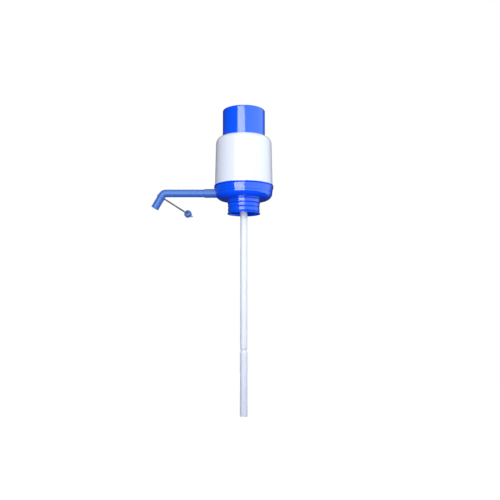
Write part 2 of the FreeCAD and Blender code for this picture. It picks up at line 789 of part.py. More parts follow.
def pad_ear(body, name, plane, inner, outer, width, thickness):
    """A flat ear that runs along X, half its thickness each side of one of the body's planes."""
    sketch = new_sketch(body, name + "_sketch", plane)
    draw_outline(sketch, rectangle(inner, f"-{width} / 2", outer, f"{width} / 2"))
    return extrude(body, name, sketch, length=thickness, midplane=True)


def make_strap_ring():
    body = new_body("strap_ring")
    pad_ear(body, "ear", "XY_Plane", "ring_bore + ring_wall / 2", "ring_ear_end", "strap_diameter",
            "strap_diameter")
    revolve(body, "ring", rectangle("ring_bore", "-ring_height / 2", "ring_outer", "ring_height / 2"))
    place(body, x="ring_x", z="ring_z", tilt="leg_tilt")


def make_cap_strap():
    """A round strap whose two ends are balls about the points where it bends."""
    body = new_body("cap_strap")
    revolve(body, "strap", [
        ("-strap_end", "0", "-strap_end"),
        ("0", "strap_end"),
        ("strap_length", "strap_end", "-strap_end"),
        ("strap_length + strap_end", "0"),
    ], axis="H_Axis")
    place(body, x="strap_x", z="strap_z", tilt="strap_tilt")


def make_dust_cap():
    """A domed plug for the spout's end, with an ear to the strap and a pull tab. It hangs facing -Y."""
    body = new_body("dust_cap")
    half_plate = "dust_cap_plate / 2"
    crown_arc = "((dust_cap * dust_cap + dust_cap_crown * dust_cap_crown) / (2 * dust_cap_crown))"
    plug_end = f"({half_plate} + plug_length)"
    revolve(body, "plug", [
        ("0", f"-{half_plate}"),
        ("plug_outer - plug_wall", f"-{half_plate}"),
        ("plug_outer - plug_wall", f"-{plug_end}"),
        ("plug_outer - plug_lead / 2", f"-{plug_end}"),
        ("plug_outer", f"-{plug_end} + plug_lead"),
        ("plug_outer", f"-{half_plate}"),
        ("dust_cap", f"-{half_plate}"),
        ("dust_cap", half_plate, crown_arc),
        ("0", f"{half_plate} + dust_cap_crown"),
    ], plane="XY_Plane")
    pad_ear(body, "ear", "XZ_Plane", "-dust_cap_ear_end", "-dust_cap + plug_wall", "strap_diameter",
            "strap_diameter")
    pad_ear(body, "tab", "XZ_Plane", "dust_cap - plug_wall", "dust_cap + dust_cap_tab",
            "dust_cap_tab_width", "dust_cap_plate")
    place(body, x="dust_cap_x", z="dust_cap_z", tilt="strap_tilt")


def make_dip_tube():
    upper = new_body("dip_tube_upper")
    insertion_end = "-joint_depth - tube_insertion"
    revolve(upper, "tube", [
        ("tube_end_bore", insertion_end),
        ("tube_end", insertion_end),
        ("tube_end", "neck_top"),
        ("upper_tube", "taper_top"),
        ("upper_tube", "tube_top"),
        ("upper_tube_bore", "tube_top"),
        ("upper_tube_bore", "taper_top"),
        ("tube_end_bore", "neck_top"),
    ])
    lower = new_body("dip_tube_lower")
    revolve(lower, "tube", rectangle("lower_tube_bore", "-joint_depth - lower_tube_length",
                                     "lower_tube", "-joint_depth"))


NODES = [
    "push_cap", "bellows_top_plate", "intake_valve", "bellows", "bellows_clamp_ring", "shell",
    "base_deck", "delivery_valve", "base_bowl", "neck_collar", "neck_gasket", "outlet_elbow",
    "outlet_nipple", "spout", "spout_o_ring", "strap_ring", "cap_strap", "dust_cap",
    "dip_tube_upper", "dip_tube_lower",
]


def check_document():
    """Stop if any feature failed or any piece isn't one valid solid."""
    for item in document.Objects:
        if "Invalid" in item.State or "Error" in item.State:
            raise RuntimeError(f"{item.Name} failed: {item.State}")
    for node in NODES:
        shape = document.getObjectsByLabel(node)[0].Shape
        if shape.isNull() or not shape.isValid() or len(shape.Solids) != 1:
            raise RuntimeError(f"{node} is not one valid solid")


def export_parts():
    """Write each piece to parts/NODE.step."""
    os.makedirs("parts", exist_ok=True)
    for node in NODES:
        shape = document.getObjectsByLabel(node)[0].Shape
        shape.exportStep(f"parts/{node}.step")
        print(f"{node}: {shape.Volume:.0f} mm3")


fill_sheet()
make_push_cap()
make_top_plate()
make_check_valve("intake_valve", "top_plate_under", "top_plate_thickness")
make_bellows()
make_clamp_ring()
make_shell()
make_base_deck()
make_check_valve("delivery_valve", "rim_top", "deck_thickness")
make_base_bowl()
make_neck_collar()
make_neck_gasket()
make_outlet_elbow()
make_outlet_nipple()
make_spout()
make_spout_seal()
make_strap_ring()
make_cap_strap()
make_dust_cap()
make_dip_tube()
document.recompute()
check_document()
export_parts()
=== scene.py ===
import math

import bmesh
import bpy
from mathutils import Matrix, Quaternion, Vector


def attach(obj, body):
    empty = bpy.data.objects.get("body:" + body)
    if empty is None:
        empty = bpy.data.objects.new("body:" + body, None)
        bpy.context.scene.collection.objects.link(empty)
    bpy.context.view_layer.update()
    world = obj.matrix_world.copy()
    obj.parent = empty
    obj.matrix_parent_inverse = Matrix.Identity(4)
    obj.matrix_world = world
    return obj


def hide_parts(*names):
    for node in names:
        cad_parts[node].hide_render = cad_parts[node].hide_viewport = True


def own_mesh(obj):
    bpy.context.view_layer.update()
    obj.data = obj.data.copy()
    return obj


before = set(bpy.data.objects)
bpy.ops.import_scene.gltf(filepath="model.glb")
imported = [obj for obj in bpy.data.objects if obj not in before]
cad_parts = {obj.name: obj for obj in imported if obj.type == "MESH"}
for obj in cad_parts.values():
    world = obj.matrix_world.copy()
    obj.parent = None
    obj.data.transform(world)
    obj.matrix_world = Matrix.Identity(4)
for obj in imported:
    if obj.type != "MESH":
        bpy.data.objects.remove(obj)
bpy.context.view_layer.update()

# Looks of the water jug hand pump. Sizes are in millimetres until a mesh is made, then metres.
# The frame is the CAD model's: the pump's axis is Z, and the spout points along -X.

MM = 0.001
TURNS = 160            # facets round the large turned pieces, about 2 mm each
SMALL_TURNS = 64       # facets round the pipe, the tubes and the strap's pieces
ARC_STEP = 9.0         # degrees that one facet of a rounded edge turns
EDGE_LOOP = 0.3        # a ring of points this near each edge keeps the flats flat in shading
SHARP = 40.0           # degrees; edges that turn more are drawn sharp
ON_AXIS = 0.0001       # a point this near the axis is a pole, and not a ring of points
SLIVER = 0.002         # a seam's edges and faces narrower than this are closed up
HANDLED_PATCH = 24.0   # width of the patches that hands and wear have dulled
MATH = "ShaderNodeMath"

# Heights above the collar's bottom rim
TUBE_END = -369.5
TUBE_JOINT = -254.0
COLLAR_TOP = 26.0
FLOOR_UNDER = 26.1     # the bowl's floor, over the collar's top
FLOOR_TOP = 28.6
SPOUT_AXIS = 38.7
RIM_TOP = 53.0
DECK_TOP = 56.0
SHELL_TOP = 143.0
BELLOWS_TOP = 181.0
CAP_TOP = 194.3

BASE_INNER = 49.9      # the radius inside both halves of the base
BELLOWS_WALL = 1.6

# Neck collar
COLLAR_WALL = 28.25    # radius of the wall that the ribs swell from
COLLAR_BORE = 27.9     # radius of the bore's hollows, between its beads
FIRST_RIB = 3.4        # height at which the first rib starts
RIB_PITCH = 8.2
RIB_COUNT = 2
BEADS_END = 2.4        # heights between which the bore has points for its beads
BEADS_START = 20.8

# The spout. Its reaches are measured from the pump's axis.
NIPPLE_START = 9.1
NIPPLE_REACH = 73.0
SPOUT_START = 50.3
SPOUT_REACH = 148.7    # to the corner of its bend
SPOUT_TURN = 60.0      # degrees
SPOUT_DROP = 32.1      # from the corner down the leg to its end
BEND_RADIUS = 7.6
BEND_STEPS = 14
PIPE_OUTER = 7.1
PIPE_WALL = 1.4

# Dust cap and strap
RING_DROP = 8.3        # from the bend's corner down the leg to the ring
LEG_TILT = 90 - SPOUT_TURN   # of the ring, square to the leg
STRAP_TILT = 32.5
HINGE_AT = 10.55       # from the ring's centre to the strap's first bend
STRAP_LENGTH = 38.7    # from its first bend to its second
STRAP_RADIUS = 1.4
CAP_HINGE = 9.25       # from the strap's second bend to the dust cap's centre
EAR_WIDTH = 2.6        # of both ears that the strap bends from, and their height
EAR_ROUNDING = 0.45


# ---------------------------------------------------------------- nodes and colours

def colour(text):
    """An sRGB hex value as linear red, green, blue and alpha."""
    channels = [int(text[index:index + 2], 16) / 255 for index in (1, 3, 5)]
    return [c / 12.92 if c <= 0.04045 else ((c + 0.055) / 1.055) ** 2.4 for c in channels] + [1.0]


def add_node(tree, kind, inputs=(), **settings):
    """One node with its settings and its inputs, which are a list from the first one on, or a dict.

    An input is a value, the output of another node, or a node, which stands for its first output.
    """
    node = tree.nodes.new(kind)
    for name, setting in settings.items():
        setattr(node, name, setting)
    listed = inputs.items() if isinstance(inputs, dict) else enumerate(inputs)
    for name, given in listed:
        source = given.outputs[0] if isinstance(given, bpy.types.Node) else given
        if isinstance(source, bpy.types.NodeSocket):
            tree.links.new(source, node.inputs[name])
        else:
            node.inputs[name].default_value = source
    return node


def new_material(name):
    """An empty node material and its tree."""
    material = bpy.data.materials.new(name)
    material.use_nodes = True
    material.node_tree.nodes.clear()
    return material, material.node_tree


def moulded(name, tone, roughness, ior, wave, wave_height, haze, coat=0.0, glow=0.0, streak=None):
    """A moulded or extruded plastic, or a rubber.

    wave is the width in mm of the mould's faint unevenness and wave_height its height in mm. haze is how
    much the gloss varies where hands and wear have dulled it. streak stretches the unevenness along an axis,
    as an extruder's die does. glow is the share of light that comes back from under the surface.
    """
    material, tree = new_material(name)
    place = add_node(tree, "ShaderNodeTexCoord").outputs["Object"]
    if streak:
        place = add_node(tree, "ShaderNodeMapping", {"Vector": place, "Scale": streak})
    uneven = add_node(tree, "ShaderNodeTexNoise", {
        "Vector": place, "Scale": 1 / (wave * MM), "Detail": 3.0, "Roughness": 0.45})
    patches = add_node(tree, "ShaderNodeTexNoise", {
        "Vector": place, "Scale": 1 / (HANDLED_PATCH * MM), "Detail": 5.0, "Roughness": 0.6})
    dulled = add_node(tree, "ShaderNodeMapRange", {
        "Value": patches, "From Min": 0.35, "From Max": 0.7,
        "To Min": max(roughness - haze / 3, 0.02), "To Max": roughness + haze})
    relief = add_node(tree, "ShaderNodeBump", {
        "Height": uneven, "Strength": 1.0, "Distance": wave_height * MM})
    shader = add_node(tree, "ShaderNodeBsdfPrincipled", {
        "Base Color": colour(tone), "Roughness": dulled, "IOR": ior, "Normal": relief,
        "Coat Weight": coat, "Coat Roughness": 0.06, "Coat IOR": 1.6, "Subsurface Weight": glow,
        "Subsurface Radius": (0.002, 0.0025, 0.004), "Subsurface Scale": 1.0})
    add_node(tree, "ShaderNodeOutputMaterial", {"Surface": shader})
    return material


# Polished ABS: a deep even blue under a hard gloss that shows the lamps as crisp patches.
CAP_BLUE = moulded("Polished blue ABS, cap", "#0A57FC", roughness=0.12, ior=1.54,
                   wave=5.0, wave_height=0.004, haze=0.10, coat=1.0)
# The base's blue is a touch darker than the cap's. This is painted shade: a darker copy of the same ABS that
# stands in for the shade under the bowl.
BASE_BLUE = moulded("Polished blue ABS, base", "#0A55F8", roughness=0.12, ior=1.54,
                    wave=6.0, wave_height=0.005, haze=0.08, coat=1.0)
# Glossy white ABS: a cool white that stays readable as a turned surface.
SHELL_WHITE = moulded("Glossy white ABS", "#E9EBF5", roughness=0.16, ior=1.54,
                      wave=7.0, wave_height=0.005, haze=0.08, coat=0.3)
# Soft polyethylene: the collar's blue with a waxier gloss, and the small parts without shine.
COLLAR_BLUE = moulded("Soft blue polyethylene", "#0A57EE", roughness=0.18, ior=1.51,
                      wave=3.0, wave_height=0.005, haze=0.08, coat=0.6, glow=0.05)
STRAP_GREY = moulded("Satin grey polyethylene", "#384E56", roughness=0.36, ior=1.51,
                     wave=2.0, wave_height=0.006, haze=0.10, glow=0.10)
STOPPER_BLUE = moulded("Satin blue polyethylene", "#446EB8", roughness=0.36, ior=1.51,
                       wave=2.0, wave_height=0.006, haze=0.10, glow=0.10)
# Extruded polypropylene: die lines along the pipe, drawn coarser than real ones so that they show, break
# its highlight a little.
PIPE_BLUE = moulded("Extruded blue polypropylene", "#4070C0", roughness=0.34, ior=1.49,
                    wave=1.6, wave_height=0.0015, haze=0.06, streak=(0.08, 1.0, 1.0))
# Natural polypropylene, as the hidden plates are: milky and plain.
INNER_WHITE = moulded("Natural polypropylene", "#D9DADC", roughness=0.38, ior=1.49,
                      wave=2.5, wave_height=0.006, haze=0.08, glow=0.15)
# Rubbers: dull, with a fine skin.
BELLOWS_RUBBER = moulded("Moulded bellows rubber", "#C9C8C0", roughness=0.55, ior=1.52,
                         wave=1.2, wave_height=0.012, haze=0.12)
VALVE_RUBBER = moulded("Silicone rubber", "#BFC3C8", roughness=0.45, ior=1.43,
                       wave=1.0, wave_height=0.006, haze=0.10, glow=0.2)
SEAL_RUBBER = moulded("Black nitrile rubber", "#232325", roughness=0.60, ior=1.52,
                      wave=0.8, wave_height=0.010, haze=0.12)


def milky_tube():
    """Extruded natural polyethylene: nearly white, and it lets a little light through.

    Its faint die lines are drawn coarser than real ones, so that they show.
    """
    line_spacing, line_height = 1.1, 0.006
    material, tree = new_material("Milky extruded polyethylene")
    place = add_node(tree, "ShaderNodeTexCoord").outputs["Object"]
    along = add_node(tree, "ShaderNodeMapping", {"Vector": place, "Scale": (1.0, 1.0, 0.03)})
    lines = add_node(tree, "ShaderNodeTexNoise", {
        "Vector": along, "Scale": 1 / (line_spacing * MM), "Detail": 3.0})
    relief = add_node(tree, "ShaderNodeBump", {
        "Height": lines, "Strength": 1.0, "Distance": line_height * MM})
    gloss = add_node(tree, "ShaderNodeMapRange", {"Value": lines, "To Min": 0.26, "To Max": 0.42})
    shader = add_node(tree, "ShaderNodeBsdfPrincipled", {
        "Base Color": colour("#FAFDFF"), "Roughness": gloss, "IOR": 1.51, "Normal": relief,
        "Transmission Weight": 0.08, "Subsurface Weight": 0.1, "Subsurface Scale": 1.0,
        "Subsurface Radius": (0.004, 0.004, 0.005)})
    add_node(tree, "ShaderNodeOutputMaterial", {"Surface": shader})
    return material


TUBE_MILKY = milky_tube()


# ---------------------------------------------------------------- mesh making

def arc(centre, radius, start, end):
    """Points on an arc about centre, from start to end in degrees."""
    steps = max(2, math.ceil(abs(end - start) / ARC_STEP))
    angles = [math.radians(start + (end - start) * step / steps) for step in range(steps + 1)]
    return [(centre[0] + radius * math.cos(a), centre[1] + radius * math.sin(a)) for a in angles]


def rounded(corners):
    """A closed outline through corners. Each is (radius, height), or with a third number, its rounding."""
    points = []
    for index, corner in enumerate(corners):
        here = Vector(corner[:2])
        if len(corner) == 2:
            points.append(here)
            continue
        before = (Vector(corners[index - 1][:2]) - here).normalized()
        after = (Vector(corners[(index + 1) % len(corners)][:2]) - here).normalized()
        opening = before.angle(after)
        centre = here + (before + after).normalized() * corner[2] / math.sin(opening / 2)
        reach = corner[2] / math.tan(opening / 2)
        spoke = here + before * reach - centre
        side = math.copysign(1, before.cross(after))
        steps = max(2, math.ceil(math.degrees(math.pi - opening) / ARC_STEP))
        for step in range(steps + 1):
            spin = -side * (math.pi - opening) * step / steps
            points.append(centre + Matrix.Rotation(spin, 2) @ spoke)
    return points


def with_edge_loops(points):
    """The outline with a point near both ends of each long side."""
    fuller = []
    for here, following in zip(points, points[1:] + points[:1]):
        side = following - here
        fuller.append(here)
        if side.length > 3 * EDGE_LOOP:
            fuller.append(here + side.normalized() * EDGE_LOOP)
            fuller.append(following - side.normalized() * EDGE_LOOP)
    return fuller


def new_piece(name, mesh, material):
    """An object for a mesh, shaded smooth but for its sharp edges."""
    mesh.name = name
    mesh.materials.clear()
    mesh.materials.append(material)
    mesh.shade_smooth()
    mesh.set_sharp_from_angle(angle=math.radians(SHARP))
    piece = bpy.data.objects.new(name, mesh)
    bpy.context.scene.collection.objects.link(piece)
    return piece


def turned_mesh(outline, segments=TURNS, place=None):
    """A closed mesh made by turning a closed outline about Z, then put in its place."""
    shape = bmesh.new()
    rings = []
    for radius, height in with_edge_loops([Vector(point) for point in outline]):
        count = segments if radius > ON_AXIS else 1
        spin = [2 * math.pi * index / count for index in range(count)]
        rings.append([shape.verts.new((radius * MM * math.cos(a), radius * MM * math.sin(a), height * MM))
                      for a in spin])
    for ring, following in zip(rings, rings[1:] + rings[:1]):
        for index in range(segments):
            loop = [ring[index % len(ring)], ring[(index + 1) % len(ring)],
                    following[(index + 1) % len(following)], following[index % len(following)]]
            loop = list(dict.fromkeys(loop))
            if len(loop) > 2:
                shape.faces.new(loop)
    bmesh.ops.recalc_face_normals(shape, faces=shape.faces)
    mesh = bpy.data.meshes.new("turned")
    shape.to_mesh(mesh)
    shape.free()
    if place:
        mesh.transform(place)
    return mesh


def turned(name, outline, material, segments=TURNS, place=None):
    """A turned piece in its place."""
    return new_piece(name, turned_mesh(outline, segments, place), material)


def block(width, depth, height, rounding, centre):
    """A rounded block, centred at a point, as a mesh."""
    shape = bmesh.new()
    bmesh.ops.create_cube(shape, size=1.0)
    bmesh.ops.scale(shape, vec=Vector((width, depth, height)) * MM, verts=shape.verts)
    bmesh.ops.bevel(shape, geom=list(shape.edges), offset=rounding * MM, segments=4, profile=0.5,
                    affect="EDGES")
    bmesh.ops.translate(shape, vec=Vector(centre) * MM, verts=shape.verts)
    mesh = bpy.data.meshes.new("block")
    shape.to_mesh(mesh)
    shape.free()
    return mesh


def evaluated_mesh(thing):
    """The object's mesh with its modifiers worked out. The object is removed."""
    scene_state = bpy.context.evaluated_depsgraph_get()
    mesh = bpy.data.meshes.new_from_object(thing.evaluated_get(scene_state))
    bpy.data.objects.remove(thing)
    return mesh


def combined(base, others, operation):
    """Join other meshes to a mesh, or cut them out of it, with no slivers left along the seams."""
    body = bpy.data.objects.new("body_in_work", base)
    bpy.context.scene.collection.objects.link(body)
    tools = []
    for index, other in enumerate(others):
        tool = bpy.data.objects.new(f"tool_{index}", other)
        bpy.context.scene.collection.objects.link(tool)
        change = body.modifiers.new(f"change_{index}", "BOOLEAN")
        change.operation = operation
        change.object = tool
        change.solver = "EXACT"
        tools.append(tool)
    mesh = evaluated_mesh(body)
    for tool in tools:
        bpy.data.objects.remove(tool)
    shape = bmesh.new()
    shape.from_mesh(mesh)
    bmesh.ops.dissolve_degenerate(shape, dist=SLIVER * MM, edges=shape.edges)
    shape.to_mesh(mesh)
    shape.free()
    return mesh


# Turns a shape made about +Z so that its axis runs out along the spout, at the spout's height
ALONG_SPOUT = Matrix.Translation((0, 0, SPOUT_AXIS * MM)) @ Matrix.Rotation(math.radians(-90), 4, "Y")


# ---------------------------------------------------------------- turned pieces

def make_push_cap():
    """The cup the palm presses: a shallow dish on top, a foot flange and a seat ring inside."""
    outer, inner, ceiling = 39.2, 37.2, 190.2
    dish, dish_top, dish_floor = 28.0, 31.2, 192.7
    seat_inner, seat_outer, seat_end = 24, 26, 184.3
    flange, flange_under, flange_top = 41.6, 138.1, 140.1
    outline = rounded([
        (0, ceiling), (seat_inner, ceiling, 0.6), (seat_inner, seat_end), (seat_outer, seat_end),
        (seat_outer, ceiling, 0.6), (inner, ceiling, 0.8), (inner, flange_under, 0.4),
        (flange, flange_under, 0.4), (flange, flange_top, 0.4), (outer, flange_top, 0.3),
        (outer, CAP_TOP, 2.6), (dish_top, CAP_TOP, 2.5), (dish, dish_floor, 2.5), (0, dish_floor)])
    return turned("push_cap_body", outline, CAP_BLUE)


def make_shell():
    """The white sleeve, drawn in a little towards its rounded shoulder."""
    foot, foot_inner = 53.3, 50.9
    shoulder, shoulder_inner, mouth, ceiling = 51.3, 48.9, 39.65, 140.6
    shoulder_radius, inner_radius = 11.8, 9.2
    outline = rounded([
        (foot_inner, RIM_TOP, 0.4), (foot, RIM_TOP, 0.5), (shoulder, SHELL_TOP, shoulder_radius),
        (mouth, SHELL_TOP, 0.5), (mouth, ceiling, 0.5), (shoulder_inner, ceiling, inner_radius)])
    return turned("shell_body", outline, SHELL_WHITE)


def nipple_notch():
    """The round hole through the base's wall that holds the nipple."""
    radius, inside, outside = 8.2, 30, 70
    return turned_mesh([(0, inside), (radius, inside), (radius, outside), (0, outside)],
                       SMALL_TURNS, ALONG_SPOUT)


def make_base_rim():
    """The base's upper half: a rim under a thin lip, the plate under the bellows and the shell's spigot."""
    stem_hole = 2.5
    tongue_roof, tongue_wall = 41.8, 51.1
    foot, foot_under = 52.9, 38.9
    waist, waist_at = 53.4, 43.2
    widest, curve_end, groove_under = 55.0, 48.8, 49.9
    groove, groove_at = 51.8, 50.5
    lip, lip_under = 54.7, 51.7
    spigot, spigot_inner, spigot_top = 50.57, 48.27, 62
    outline = rounded([
        (stem_hole, RIM_TOP), (BASE_INNER, RIM_TOP), (BASE_INNER, tongue_roof), (tongue_wall, tongue_roof),
        (tongue_wall, foot_under, 0.2), (foot, foot_under, 0.2), (waist, waist_at, 12.0),
        (widest, curve_end, 3.0), (widest, groove_under, 0.3), (groove, groove_at), (lip, lip_under, 0.15),
        (lip, RIM_TOP, 0.6), (spigot, RIM_TOP, 0.2), (spigot, spigot_top, 0.4),
        (spigot_inner, spigot_top, 0.4), (spigot_inner, DECK_TOP, 0.6), (stem_hole, DECK_TOP)])
    mesh = combined(turned_mesh(outline), [nipple_notch()], "DIFFERENCE")
    return new_piece("base_rim", mesh, BASE_BLUE)


def make_base_bowl():
    """The base's lower half, from the rim in to the neck. Its outer corner is one round sweep."""
    opening = 19
    neck_bore, neck_end, neck_foot, neck_root = 29.45, 20.2, 30.2, 30.6
    under, corner_start = 26.6, 44.2
    corner = arc((39.73, 39.34), 13.5, -68.0, -18.0)
    outer, corner_end, top = 52.7, 35.6, 38.6
    tongue, tongue_top, inner_corner = 51.0, 41.7, 9.5
    outline = rounded([
        (opening, FLOOR_UNDER, 0.3), (neck_bore, FLOOR_UNDER), (neck_bore, neck_end, 0.2),
        (neck_foot, neck_end, 0.25), (neck_root, under, 1.3), (corner_start, under, 0.8), *corner,
        (outer, corner_end, 0.8), (outer, top, 0.2), (tongue, top), (tongue, tongue_top, 0.3),
        (BASE_INNER, tongue_top, 0.3), (BASE_INNER, FLOOR_TOP, inner_corner), (opening, FLOOR_TOP, 0.3)])
    mesh = combined(turned_mesh(outline), [nipple_notch()], "DIFFERENCE")
    return new_piece("base_bowl_body", mesh, BASE_BLUE)


def make_outlet_nipple():
    """The short tube out of the base's side, with a wider socket for the spout."""
    bore, outer, socket, socket_end = 5, 8.1, 7.2, 50
    outline = rounded([
        (bore, NIPPLE_START), (outer, NIPPLE_START, 0.3), (outer, NIPPLE_REACH, 0.4),
        (socket, NIPPLE_REACH, 0.3), (socket, socket_end), (bore, socket_end)])
    return turned("outlet_nipple_tube", outline, PIPE_BLUE, SMALL_TURNS, ALONG_SPOUT)


def make_dip_tubes():
    """The upper tube, necked in at its end, and the wider lower tube that it plugs into."""
    outer, bore, top = 6.5, 5.3, 33.3
    plug, plug_bore, plug_end = 5.6, 4.4, -269
    neck_start, neck_end, neck_rounding = -246.5, -249, 4.0
    upper = turned("dip_tube_upper_wall", rounded([
        (plug_bore, plug_end, 0.2), (plug, plug_end, 0.4), (plug, neck_end, neck_rounding),
        (outer, neck_start, neck_rounding), (outer, top, 0.3), (bore, top, 0.3),
        (bore, neck_start, neck_rounding), (plug_bore, neck_end, neck_rounding)]), TUBE_MILKY, SMALL_TURNS)
    outer, bore = 6.85, 5.65
    lower = turned("dip_tube_lower_wall", rounded([
        (bore, TUBE_END, 0.3), (outer, TUBE_END, 0.3), (outer, TUBE_JOINT, 0.3), (bore, TUBE_JOINT, 0.3)]),
        TUBE_MILKY, SMALL_TURNS)
    return upper, lower


# ---------------------------------------------------------------- Geometry Nodes pieces

def new_tree(name, sizes):
    """A geometry tree with a named input for each size, its group input and output."""
    tree = bpy.data.node_groups.new(name, "GeometryNodeTree")
    tree.interface.new_socket("Geometry", in_out="INPUT", socket_type="NodeSocketGeometry")
    for size, start in sizes.items():
        kind = "NodeSocketInt" if isinstance(start, int) else "NodeSocketFloat"
        tree.interface.new_socket(size, in_out="INPUT", socket_type=kind).default_value = start
    tree.interface.new_socket("Material", in_out="INPUT", socket_type="NodeSocketMaterial")
    tree.interface.new_socket("Geometry", in_out="OUTPUT", socket_type="NodeSocketGeometry")
    return tree, tree.nodes.new("NodeGroupInput").outputs, tree.nodes.new("NodeGroupOutput")


def close_tree(tree, given, result, geometry):
    """End a tree in Realize Instances and Set Material."""
    real = add_node(tree, "GeometryNodeRealizeInstances", {"Geometry": geometry})
    dressed = add_node(tree, "GeometryNodeSetMaterial", {"Geometry": real, "Material": given["Material"]})
    tree.links.new(dressed.outputs["Geometry"], result.inputs["Geometry"])


def grown(name, tree, sizes, material, base=None, wall=None):
    """A piece made by a geometry tree: its inputs are set, then its result is kept as a plain mesh."""
    maker = bpy.data.objects.new(name + "_maker", base or bpy.data.meshes.new(name))
    bpy.context.scene.collection.objects.link(maker)
    growth = maker.modifiers.new("growth", "NODES")
    growth.node_group = tree
    for item in tree.interface.items_tree:
        if item.in_out == "INPUT" and item.name in sizes:
            growth[item.identifier] = sizes[item.name]
        if item.in_out == "INPUT" and item.name == "Material":
            growth[item.identifier] = material
    if wall:
        thicken = maker.modifiers.new("wall", "SOLIDIFY")
        thicken.thickness = wall * MM
        thicken.offset = -1.0
        thicken.use_even_offset = True
    return new_piece(name, evaluated_mesh(maker), material)


def collar_outline():
    """The sleeve's section. Its ribbed and its beaded stretch have many points, for the tree to move."""
    steps = 64
    lip, lip_top, lip_inner = 30.5, 0.9, 28.6
    flare, flare_end = 28.8, 3.1
    skirt, skirt_start = 29.35, 20.9
    ribbed = [Vector((COLLAR_WALL, FIRST_RIB + RIB_PITCH * RIB_COUNT * step / steps))
              for step in range(steps + 1)]
    beaded = [Vector((COLLAR_BORE, BEADS_END + (BEADS_START - BEADS_END) * (1 - step / steps)))
              for step in range(steps + 1)]
    foot = rounded([(lip_inner, 0, 0.4), (lip, 0, 0.4), (lip, lip_top, 0.4), (flare, flare_end, 0.5),
                    ribbed[0]])
    head = rounded([(skirt, skirt_start, 0.5), (skirt, COLLAR_TOP, 0.3), (COLLAR_BORE, COLLAR_TOP, 0.3),
                    beaded[0]])
    return foot[:-1] + ribbed + head[:-1] + beaded


def make_neck_collar():
    """The sleeve that stretches over the jug's neck. A tree swells its ribs and draws in its bore's beads."""
    squareness = 4.5       # of the ribs: more makes their backs flatter and their sides steeper
    slack, near = 0.001, 0.05 * MM
    sizes = {"First rib": FIRST_RIB * MM, "Rib pitch": RIB_PITCH * MM, "Rib count": RIB_COUNT,
             "Rib rise": 1.1 * MM, "Outer wall": COLLAR_WALL * MM, "Bead rise": 1.0 * MM,
             "Inner wall": COLLAR_BORE * MM}
    tree, given, result = new_tree("Ribbed sleeve", sizes)
    x, y, z = add_node(tree, "ShaderNodeSeparateXYZ", [add_node(tree, "GeometryNodeInputPosition")]).outputs
    squares = [add_node(tree, MATH, [side, side], operation="MULTIPLY") for side in (x, y)]
    across = add_node(tree, MATH, [add_node(tree, MATH, squares, operation="ADD")], operation="SQRT")
    # How many ribs up a point is, and whether it is on the ribbed stretch at all
    climb = add_node(tree, MATH, [z, given["First rib"]], operation="SUBTRACT")
    height = add_node(tree, MATH, [climb, given["Rib pitch"]], operation="DIVIDE")
    last = add_node(tree, MATH, [given["Rib count"], slack], operation="ADD")
    past_first = add_node(tree, MATH, [height, -slack], operation="GREATER_THAN")
    before_last = add_node(tree, MATH, [height, last], operation="LESS_THAN")
    inside = add_node(tree, MATH, [past_first, before_last], operation="MULTIPLY")
    # 1 on a rib's back and 0 in the hollows beside it
    part = add_node(tree, MATH, [height], operation="FRACT")
    doubled = add_node(tree, MATH, [part, 2.0], operation="MULTIPLY")
    centred = add_node(tree, MATH, [doubled, 1.0], operation="SUBTRACT")
    off_middle = add_node(tree, MATH, [centred], operation="ABSOLUTE")
    fall = add_node(tree, MATH, [off_middle, squareness], operation="POWER")
    swell = add_node(tree, MATH, [1.0, fall], operation="SUBTRACT")
    # The outer wall swells out to the ribs, and the bore draws in to the beads
    on_outside = add_node(tree, MATH, [across, given["Outer wall"], near], operation="COMPARE")
    on_inside = add_node(tree, MATH, [across, given["Inner wall"], near], operation="COMPARE")
    rib = add_node(tree, MATH, [swell, given["Rib rise"]], operation="MULTIPLY")
    rib = add_node(tree, MATH, [rib, on_outside], operation="MULTIPLY")
    dip = add_node(tree, MATH, [swell, 1.0], operation="SUBTRACT")
    bead = add_node(tree, MATH, [dip, given["Bead rise"]], operation="MULTIPLY")
    bead = add_node(tree, MATH, [bead, on_inside], operation="MULTIPLY")
    both = add_node(tree, MATH, [rib, bead], operation="ADD")
    push = add_node(tree, MATH, [both, inside], operation="MULTIPLY")
    share = add_node(tree, MATH, [push, across], operation="DIVIDE")
    shift = add_node(tree, "ShaderNodeCombineXYZ", [
        add_node(tree, MATH, [side, share], operation="MULTIPLY") for side in (x, y)])
    moved = add_node(tree, "GeometryNodeSetPosition", {"Geometry": given["Geometry"], "Offset": shift})
    close_tree(tree, given, result, moved)
    return grown("neck_collar_sleeve", tree, sizes, COLLAR_BLUE, base=turned_mesh(collar_outline()))


